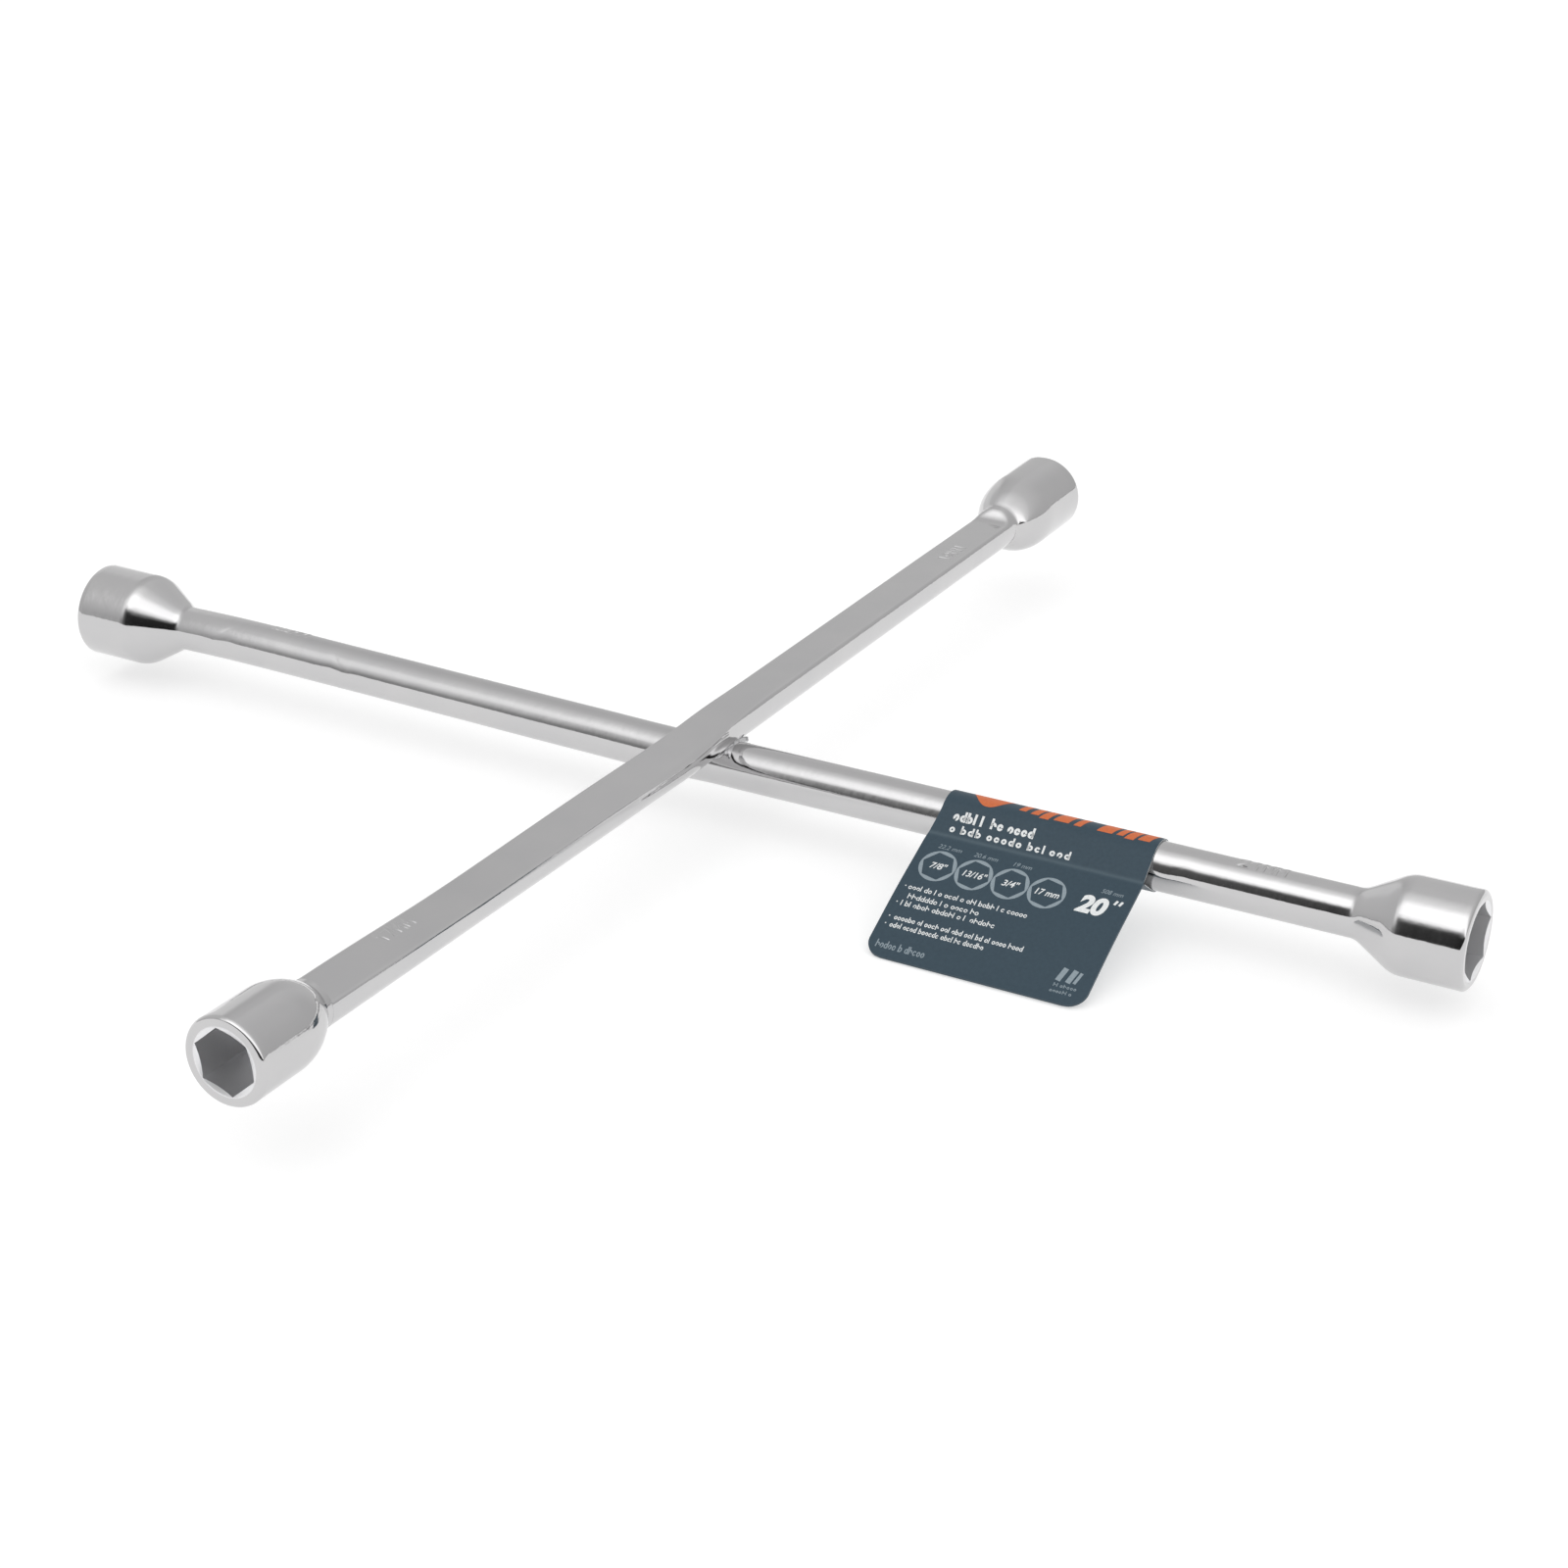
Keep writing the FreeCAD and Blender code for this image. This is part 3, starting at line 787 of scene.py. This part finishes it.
def chrome(name, along, reflectance, wear):
    """Bright chromium plating over polished forged steel.
    along is the direction of the bar: fine polishing lines run round it, so they change quickly along it."""
    material, nodes, links = new_material(name)

    output = nodes.new("ShaderNodeOutputMaterial")
    output.location = (900, 0)
    surface = nodes.new("ShaderNodeBsdfPrincipled")
    surface.label = "Chromium plate"
    surface.location = (600, 0)
    surface.inputs["Metallic"].default_value = 1.0
    links.new(surface.outputs["BSDF"], output.inputs["Surface"])

    place = nodes.new("ShaderNodeTexCoord")
    place.label = "Place on the piece"
    place.location = (-1500, 0)

    colour_frame = nodes.new("NodeFrame")
    colour_frame.label = "Plating colour: bright outside, dull grey inside the sockets"
    inside = nodes.new("ShaderNodeAttribute")
    inside.label = "Inside the socket"
    inside.attribute_name = "inside"
    inside.location = (-700, 500)
    inside.parent = colour_frame
    haze = nodes.new("ShaderNodeTexNoise")
    haze.label = "Faint haze"
    haze.location = (-700, 300)
    haze.inputs["Scale"].default_value = 60.0
    haze.inputs["Detail"].default_value = 4.0
    haze.parent = colour_frame
    links.new(place.outputs["Object"], haze.inputs["Vector"])
    bright = nodes.new("ShaderNodeValToRGB")
    bright.label = "Bright plate"
    bright.location = (-450, 300)
    bright.color_ramp.elements[0].position = 0.3
    bright.color_ramp.elements[0].color = (reflectance * 0.97, reflectance * 0.965, reflectance * 0.975, 1)
    bright.color_ramp.elements[1].position = 0.7
    bright.color_ramp.elements[1].color = (reflectance * 1.01, reflectance, reflectance * 1.005, 1)
    bright.parent = colour_frame
    links.new(haze.outputs["Fac"], bright.inputs["Fac"])
    plate = nodes.new("ShaderNodeMix")
    plate.label = "Thin plate inside"
    plate.data_type = "RGBA"
    plate.location = (-150, 350)
    plate.inputs["B"].default_value = (0.80, 0.80, 0.81, 1)
    plate.parent = colour_frame
    links.new(inside.outputs["Fac"], plate.inputs["Factor"])
    links.new(bright.outputs["Color"], plate.inputs["A"])
    links.new(plate.outputs["Result"], surface.inputs["Base Color"])

    shine_frame = nodes.new("NodeFrame")
    shine_frame.label = "Shine: polishing lines, handling marks, dull hexagon"
    stretch = nodes.new("ShaderNodeMapping")
    stretch.label = "Lines round the bar"
    stretch.location = (-1200, -150)
    stretch.inputs["Scale"].default_value = tuple(2600 if axis else 120 for axis in along)
    stretch.parent = shine_frame
    links.new(place.outputs["Object"], stretch.inputs["Vector"])
    lines = nodes.new("ShaderNodeTexNoise")
    lines.label = "Polishing lines"
    lines.location = (-950, -150)
    lines.inputs["Scale"].default_value = 1.0
    lines.inputs["Detail"].default_value = 3.0
    lines.parent = shine_frame
    links.new(stretch.outputs["Vector"], lines.inputs["Vector"])
    marks = nodes.new("ShaderNodeTexNoise")
    marks.label = "Handling marks"
    marks.location = (-950, -400)
    marks.inputs["Scale"].default_value = 140.0
    marks.inputs["Detail"].default_value = 6.0
    marks.parent = shine_frame
    links.new(place.outputs["Object"], marks.inputs["Vector"])
    shine = nodes.new("ShaderNodeMapRange")
    shine.label = "Roughness of the plate"
    shine.location = (-650, -400)
    shine.inputs["From Min"].default_value = 0.35
    shine.inputs["From Max"].default_value = 0.75
    shine.inputs["To Min"].default_value = 0.06
    shine.inputs["To Max"].default_value = 0.06 + wear
    shine.parent = shine_frame
    links.new(marks.outputs["Fac"], shine.inputs["Value"])
    dull = nodes.new("ShaderNodeMath")
    dull.label = "Duller inside"
    dull.operation = "MULTIPLY_ADD"
    dull.location = (-350, -400)
    dull.inputs[1].default_value = 0.34
    dull.parent = shine_frame
    links.new(inside.outputs["Fac"], dull.inputs[0])
    links.new(shine.outputs["Result"], dull.inputs[2])
    links.new(dull.outputs["Value"], surface.inputs["Roughness"])

    relief_frame = nodes.new("NodeFrame")
    relief_frame.label = "Relief: orange peel under the plate and fine lines"
    peel = nodes.new("ShaderNodeTexNoise")
    peel.label = "Orange peel"
    peel.location = (-650, -700)
    peel.inputs["Scale"].default_value = 220.0
    peel.inputs["Detail"].default_value = 2.0
    peel.parent = relief_frame
    links.new(place.outputs["Object"], peel.inputs["Vector"])
    peel_relief = nodes.new("ShaderNodeBump")
    peel_relief.label = "Peel relief"
    peel_relief.location = (-350, -700)
    peel_relief.inputs["Strength"].default_value = 0.10
    peel_relief.inputs["Distance"].default_value = 0.0004
    peel_relief.parent = relief_frame
    links.new(peel.outputs["Fac"], peel_relief.inputs["Height"])
    line_relief = nodes.new("ShaderNodeBump")
    line_relief.label = "Line relief"
    line_relief.location = (-50, -700)
    line_relief.inputs["Strength"].default_value = 0.03
    line_relief.inputs["Distance"].default_value = 0.0001
    line_relief.parent = relief_frame
    links.new(lines.outputs["Fac"], line_relief.inputs["Height"])
    links.new(peel_relief.outputs["Normal"], line_relief.inputs["Normal"])
    links.new(line_relief.outputs["Normal"], surface.inputs["Normal"])
    return material


def weld_plate():
    """Chromium over rough weld metal: uneven, part bright and part dull, with painted shade in pits and
    painted light on ridges.
    """
    material, nodes, links = new_material("weld_plate")

    output = nodes.new("ShaderNodeOutputMaterial")
    output.location = (800, 0)
    surface = nodes.new("ShaderNodeBsdfPrincipled")
    surface.label = "Plated weld metal"
    surface.location = (500, 0)
    surface.inputs["Metallic"].default_value = 1.0
    links.new(surface.outputs["BSDF"], output.inputs["Surface"])
    place = nodes.new("ShaderNodeTexCoord")
    place.label = "Place on the piece"
    place.location = (-900, 0)

    # Painted shade and light: random dark patches of the metal's colour stand for shade in pits, lighter ones
    # for light on ridges
    colour_frame = nodes.new("NodeFrame")
    colour_frame.label = "Colour: painted light on ridges, painted shade in pits"
    pits = nodes.new("ShaderNodeTexNoise")
    pits.label = "Pits"
    pits.location = (-600, 250)
    pits.inputs["Scale"].default_value = 500.0
    pits.inputs["Detail"].default_value = 5.0
    pits.parent = colour_frame
    links.new(place.outputs["Object"], pits.inputs["Vector"])
    tones = nodes.new("ShaderNodeValToRGB")
    tones.label = "Painted pit shade and ridge light"
    tones.location = (-300, 250)
    tones.color_ramp.elements[0].position = 0.32
    tones.color_ramp.elements[0].color = (0.30, 0.30, 0.31, 1)
    tones.color_ramp.elements[1].position = 0.52
    tones.color_ramp.elements[1].color = (0.70, 0.70, 0.71, 1)
    tones.parent = colour_frame
    links.new(pits.outputs["Fac"], tones.inputs["Fac"])
    links.new(tones.outputs["Color"], surface.inputs["Base Color"])

    relief_frame = nodes.new("NodeFrame")
    relief_frame.label = "Relief and shine of the squeezed metal"
    folds = nodes.new("ShaderNodeTexNoise")
    folds.label = "Folds"
    folds.location = (-600, -250)
    folds.inputs["Scale"].default_value = 420.0
    folds.inputs["Detail"].default_value = 4.0
    folds.parent = relief_frame
    links.new(place.outputs["Object"], folds.inputs["Vector"])
    shine = nodes.new("ShaderNodeMapRange")
    shine.label = "Uneven shine"
    shine.location = (-300, -150)
    shine.inputs["To Min"].default_value = 0.12
    shine.inputs["To Max"].default_value = 0.34
    shine.parent = relief_frame
    links.new(folds.outputs["Fac"], shine.inputs["Value"])
    links.new(shine.outputs["Result"], surface.inputs["Roughness"])
    relief = nodes.new("ShaderNodeBump")
    relief.label = "Fold relief"
    relief.location = (-300, -400)
    relief.inputs["Strength"].default_value = 0.06
    relief.inputs["Distance"].default_value = 0.0003
    relief.parent = relief_frame
    links.new(folds.outputs["Fac"], relief.inputs["Height"])
    links.new(relief.outputs["Normal"], surface.inputs["Normal"])
    return material


def card_board():
    """Coated board printed dark blue-grey outside, plain grey board inside, with a painted highlight along
    the crease.
    """
    material, nodes, links = new_material("card_board")

    output = nodes.new("ShaderNodeOutputMaterial")
    output.location = (900, 0)
    surface = nodes.new("ShaderNodeBsdfPrincipled")
    surface.label = "Coated board"
    surface.location = (600, 0)
    surface.inputs["Specular IOR Level"].default_value = 0.35
    links.new(surface.outputs["BSDF"], output.inputs["Surface"])
    place = nodes.new("ShaderNodeTexCoord")
    place.label = "Place on the piece"
    place.location = (-1200, 0)

    colour_frame = nodes.new("NodeFrame")
    colour_frame.label = "Print colour, painted crease highlight and bare inside"
    mottle = nodes.new("ShaderNodeTexNoise")
    mottle.label = "Ink mottle"
    mottle.location = (-900, 300)
    mottle.inputs["Scale"].default_value = 900.0
    mottle.inputs["Detail"].default_value = 3.0
    mottle.parent = colour_frame
    links.new(place.outputs["Object"], mottle.inputs["Vector"])
    ink = nodes.new("ShaderNodeValToRGB")
    ink.label = "Blue-grey ink"
    ink.location = (-650, 300)
    ink.color_ramp.elements[0].position = 0.3
    ink.color_ramp.elements[0].color = (0.026, 0.053, 0.076, 1)
    ink.color_ramp.elements[1].position = 0.7
    ink.color_ramp.elements[1].color = (0.031, 0.061, 0.086, 1)
    ink.parent = colour_frame
    links.new(mottle.outputs["Fac"], ink.inputs["Fac"])
    crease = nodes.new("ShaderNodeAttribute")
    crease.label = "Crease"
    crease.attribute_name = "crease"
    crease.location = (-900, 550)
    crease.parent = colour_frame
    # Painted highlight: along the crease the printed colour is mixed towards a lighter blue-grey, standing in
    # for light on the fold
    highlight_strength = nodes.new("ShaderNodeMath")
    highlight_strength.label = "Painted highlight strength"
    highlight_strength.operation = "MULTIPLY"
    highlight_strength.location = (-650, 550)
    highlight_strength.inputs[1].default_value = 0.35
    highlight_strength.parent = colour_frame
    links.new(crease.outputs["Fac"], highlight_strength.inputs[0])
    crease_highlight = nodes.new("ShaderNodeMix")
    crease_highlight.label = "Crease highlight colour"
    crease_highlight.data_type = "RGBA"
    crease_highlight.location = (-350, 400)
    crease_highlight.inputs["B"].default_value = (0.12, 0.17, 0.20, 1)
    crease_highlight.parent = colour_frame
    links.new(highlight_strength.outputs["Value"], crease_highlight.inputs["Factor"])
    links.new(ink.outputs["Color"], crease_highlight.inputs["A"])
    bare = nodes.new("ShaderNodeAttribute")
    bare.label = "Bare side"
    bare.attribute_name = "bare"
    bare.location = (-350, 650)
    bare.parent = colour_frame
    sides = nodes.new("ShaderNodeMix")
    sides.label = "Printed or bare"
    sides.data_type = "RGBA"
    sides.location = (-50, 450)
    sides.inputs["B"].default_value = (0.74, 0.76, 0.77, 1)
    sides.parent = colour_frame
    links.new(bare.outputs["Fac"], sides.inputs["Factor"])
    links.new(crease_highlight.outputs["Result"], sides.inputs["A"])
    links.new(sides.outputs["Result"], surface.inputs["Base Color"])

    surface_frame = nodes.new("NodeFrame")
    surface_frame.label = "Varnish shine and board texture"
    fibre = nodes.new("ShaderNodeTexNoise")
    fibre.label = "Board fibres"
    fibre.location = (-650, -300)
    fibre.inputs["Scale"].default_value = 600.0
    fibre.inputs["Detail"].default_value = 5.0
    fibre.parent = surface_frame
    links.new(place.outputs["Object"], fibre.inputs["Vector"])
    shine = nodes.new("ShaderNodeMapRange")
    shine.label = "Varnish shine"
    shine.location = (-350, -200)
    shine.inputs["To Min"].default_value = 0.36
    shine.inputs["To Max"].default_value = 0.52
    shine.parent = surface_frame
    links.new(fibre.outputs["Fac"], shine.inputs["Value"])
    links.new(shine.outputs["Result"], surface.inputs["Roughness"])
    relief = nodes.new("ShaderNodeBump")
    relief.label = "Board texture"
    relief.location = (-350, -450)
    relief.inputs["Strength"].default_value = 0.12
    relief.inputs["Distance"].default_value = 0.0002
    relief.parent = surface_frame
    links.new(fibre.outputs["Fac"], relief.inputs["Height"])
    links.new(relief.outputs["Normal"], surface.inputs["Normal"])
    return material


def ink(name, solid, thin):
    """Printing ink, a little uneven from solid to thin."""
    material, nodes, links = new_material(name)

    output = nodes.new("ShaderNodeOutputMaterial")
    output.location = (700, 0)
    surface = nodes.new("ShaderNodeBsdfPrincipled")
    surface.label = "Printed ink"
    surface.location = (400, 0)
    surface.inputs["Roughness"].default_value = 0.5
    surface.inputs["Specular IOR Level"].default_value = 0.3
    links.new(surface.outputs["BSDF"], output.inputs["Surface"])
    place = nodes.new("ShaderNodeTexCoord")
    place.label = "Place on the piece"
    place.location = (-600, 0)
    mottle = nodes.new("ShaderNodeTexNoise")
    mottle.label = "Ink mottle"
    mottle.location = (-350, 100)
    mottle.inputs["Scale"].default_value = 2500.0
    mottle.inputs["Detail"].default_value = 2.0
    links.new(place.outputs["Object"], mottle.inputs["Vector"])
    tones = nodes.new("ShaderNodeValToRGB")
    tones.label = "Thin to solid ink"
    tones.location = (-50, 100)
    tones.color_ramp.elements[0].position = 0.3
    tones.color_ramp.elements[0].color = thin
    tones.color_ramp.elements[1].position = 0.55
    tones.color_ramp.elements[1].color = solid
    links.new(mottle.outputs["Fac"], tones.inputs["Fac"])
    links.new(tones.outputs["Color"], surface.inputs["Base Color"])
    return material


def floor_paint():
    """Plain pale studio floor with a barely visible grain."""
    material, nodes, links = new_material("studio_floor")

    output = nodes.new("ShaderNodeOutputMaterial")
    output.location = (700, 0)
    surface = nodes.new("ShaderNodeBsdfPrincipled")
    surface.label = "Matt floor"
    surface.location = (400, 0)
    surface.inputs["Roughness"].default_value = 0.9
    surface.inputs["Emission Color"].default_value = (1, 1, 1, 1)
    surface.inputs["Emission Strength"].default_value = 0.50
    surface.inputs["Specular IOR Level"].default_value = 0.1
    links.new(surface.outputs["BSDF"], output.inputs["Surface"])
    place = nodes.new("ShaderNodeTexCoord")
    place.label = "Place on the floor"
    place.location = (-600, 0)
    grain = nodes.new("ShaderNodeTexNoise")
    grain.label = "Grain"
    grain.location = (-350, 0)
    grain.inputs["Scale"].default_value = 40.0
    links.new(place.outputs["Object"], grain.inputs["Vector"])
    tones = nodes.new("ShaderNodeValToRGB")
    tones.label = "Pale tones"
    tones.location = (-50, 0)
    tones.color_ramp.elements[0].color = (0.59, 0.59, 0.59, 1)
    tones.color_ramp.elements[1].color = (0.61, 0.61, 0.61, 1)
    links.new(grain.outputs["Fac"], tones.inputs["Fac"])
    links.new(tones.outputs["Color"], surface.inputs["Base Color"])
    return material


# ---------------------------------------------------------------- studio

def studio_light():
    """Soft light as a world: brightness by direction, with a broad soft box high up, a dark room in front of
    the object, and a plain grey back. Strips of the room, left to right, are blended into one another."""
    world = bpy.data.worlds.new("studio")
    bpy.context.scene.world = world
    world.use_nodes = True
    nodes = world.node_tree.nodes
    links = world.node_tree.links
    nodes.clear()

    output = nodes.new("ShaderNodeOutputWorld")
    output.location = (1200, 0)
    background = nodes.new("ShaderNodeBackground")
    background.label = "Studio walls"
    background.location = (1000, 0)
    background.inputs["Strength"].default_value = 1.0
    links.new(background.outputs["Background"], output.inputs["Surface"])
    direction = nodes.new("ShaderNodeTexCoord")
    direction.label = "Direction"
    direction.location = (-900, 0)
    parts = nodes.new("ShaderNodeSeparateXYZ")
    parts.label = "Right, back, up"
    parts.location = (-700, 0)
    links.new(direction.outputs["Generated"], parts.inputs["Vector"])
    front = nodes.new("ShaderNodeMath")
    front.label = "Towards the front"
    front.operation = "MULTIPLY"
    front.location = (-500, -100)
    front.inputs[1].default_value = -1.0
    links.new(parts.outputs["Y"], front.inputs[0])
    over = nodes.new("ShaderNodeMath")
    over.label = "Angle over the top"
    over.operation = "ARCTAN2"
    over.location = (-300, 0)
    links.new(parts.outputs["Z"], over.inputs[0])
    links.new(front.outputs["Value"], over.inputs[1])
    share = nodes.new("ShaderNodeMath")
    share.label = "0 in front, 1 at the back"
    share.operation = "DIVIDE"
    share.location = (-100, 0)
    share.inputs[1].default_value = math.pi
    links.new(over.outputs["Value"], share.inputs[0])

    # Each strip: its name, its place from left to right, and its brightness at angles up from the front
    strips = (
        ("far left", -0.66, [(0, 0.62), (50, 0.70), (90, 0.72), (120, 0.75), (140, 0.88), (180, 0.88)]),
        ("left", -0.54, [(0, 0.34), (10, 0.37), (13, 0.46), (20, 0.65), (28, 0.86), (35, 1.03), (43, 1.20),
                         (58, 1.20), (73, 0.92), (90, 0.80), (108, 0.70), (130, 0.64), (180, 0.68)]),
        ("middle", -0.34, [(0, 0.10), (4, 0.10), (28, 0.14), (35, 0.32), (41, 1.10), (50, 1.75), (66, 1.75),
                           (73, 1.60), (82, 1.25), (90, 1.05), (108, 0.72), (130, 0.70), (180, 0.70)]),
        ("right of the middle", -0.20, [(0, 0.03), (26, 0.04), (31, 0.10), (36, 0.60), (41, 1.60), (50, 2.00),
                                        (72, 1.90), (84, 1.25), (108, 0.80), (130, 0.76), (180, 0.70)]),
        ("right", 0.30, [(0, 0.02), (24, 0.03), (32, 0.30), (40, 1.20), (50, 1.80), (70, 1.70),
                         (84, 1.10), (108, 0.80), (130, 0.72), (150, 0.66), (180, 0.62)]))
    blended = None
    previous = None
    for row, (name, middle, stops) in enumerate(strips):
        ramp = nodes.new("ShaderNodeValToRGB")
        ramp.label = "Brightness, " + name
        ramp.location = (100, 600 - 280 * row)
        for place, (degrees, value) in enumerate(stops):
            if place < 2:
                stop = ramp.color_ramp.elements[place]
                stop.position = degrees / 180
            else:
                stop = ramp.color_ramp.elements.new(degrees / 180)
            stop.color = (value, value, value, 1)
        links.new(share.outputs["Value"], ramp.inputs["Fac"])
        if blended is None:
            blended = ramp.outputs["Color"]
        else:
            reach = nodes.new("ShaderNodeMapRange")
            reach.label = "Reach of " + name
            reach.interpolation_type = "SMOOTHSTEP"
            reach.location = (400, 500 - 280 * row)
            reach.inputs["From Min"].default_value = previous
            reach.inputs["From Max"].default_value = middle
            links.new(parts.outputs["X"], reach.inputs["Value"])
            mix = nodes.new("ShaderNodeMix")
            mix.label = "With " + name
            mix.data_type = "RGBA"
            mix.location = (650, 500 - 280 * row)
            links.new(reach.outputs["Result"], mix.inputs["Factor"])
            links.new(blended, mix.inputs["A"])
            links.new(ramp.outputs["Color"], mix.inputs["B"])
            blended = mix.outputs["Result"]
        previous = middle
    links.new(blended, background.inputs["Color"])


def studio_floor(material):
    """A wide level floor at the height of the card's lower edge, as a grid of quads."""
    u = np.linspace(-1, 1, 41)
    x, y = np.meshgrid(u * FLOOR_HALF, u * FLOOR_HALF, indexing="ij")
    z = 0 * x
    count = len(u)
    i, j = np.meshgrid(np.arange(count - 1), np.arange(count - 1), indexing="ij")
    faces = np.stack([i * count + j, (i + 1) * count + j, (i + 1) * count + j + 1, i * count + j + 1], -1)
    points = np.stack([x, y, z], -1).reshape(-1, 3)
    floor = make_piece("floor", points, faces.reshape(-1, 4).tolist(), material)


def camera():
    """The viewpoint: in front and to the right, looking down at the weld."""
    eye = bpy.data.cameras.new("camera")
    eye.lens = 69.794
    eye.sensor_width = 36.0
    eye.shift_x = 0.0006
    eye.shift_y = -0.0003
    eye.dof.use_dof = False
    eye.clip_start = 0.01
    eye.clip_end = 50.0
    holder = bpy.data.objects.new("camera", eye)
    bpy.context.collection.objects.link(holder)
    turn = Matrix.Rotation(math.radians(28.569), 4, "Z")
    tip = Matrix.Rotation(math.radians(90 - 24.977), 4, "X")
    roll = Matrix.Rotation(math.radians(0.797), 4, "Z")
    holder.matrix_world = Matrix.Translation(Vector((0.4487, -0.77878, 0.43318))) @ turn @ tip @ roll
    bpy.context.scene.camera = holder


# ---------------------------------------------------------------- everything in place

upper_chrome = chrome("upper_chrome", (0, 1, 0), 0.57, 0.06)
lower_chrome = chrome("lower_chrome", (1, 0, 0), 0.57, 0.05)
weld_chrome = weld_plate()

upper = over_bar(upper_chrome)
lower = under_bar(lower_chrome)
bead = weld_bead(weld_chrome)
fin = flash_fin(weld_chrome)
for piece in (upper, lower):
    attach(piece, "wrench")
for piece in (bead, fin):
    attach(piece, "wrench")

folded_card = card(card_board())
card_print(ink("white_ink", (0.86, 0.88, 0.88, 1), (0.70, 0.73, 0.74, 1)),
           ink("grey_ink", (0.29, 0.35, 0.39, 1), (0.24, 0.30, 0.34, 1)),
           ink("orange_ink", (0.66, 0.16, 0.05, 1), (0.55, 0.13, 0.045, 1)))

studio_light()
studio_floor(floor_paint())
camera()
bpy.context.scene.view_settings.view_transform = "Standard"
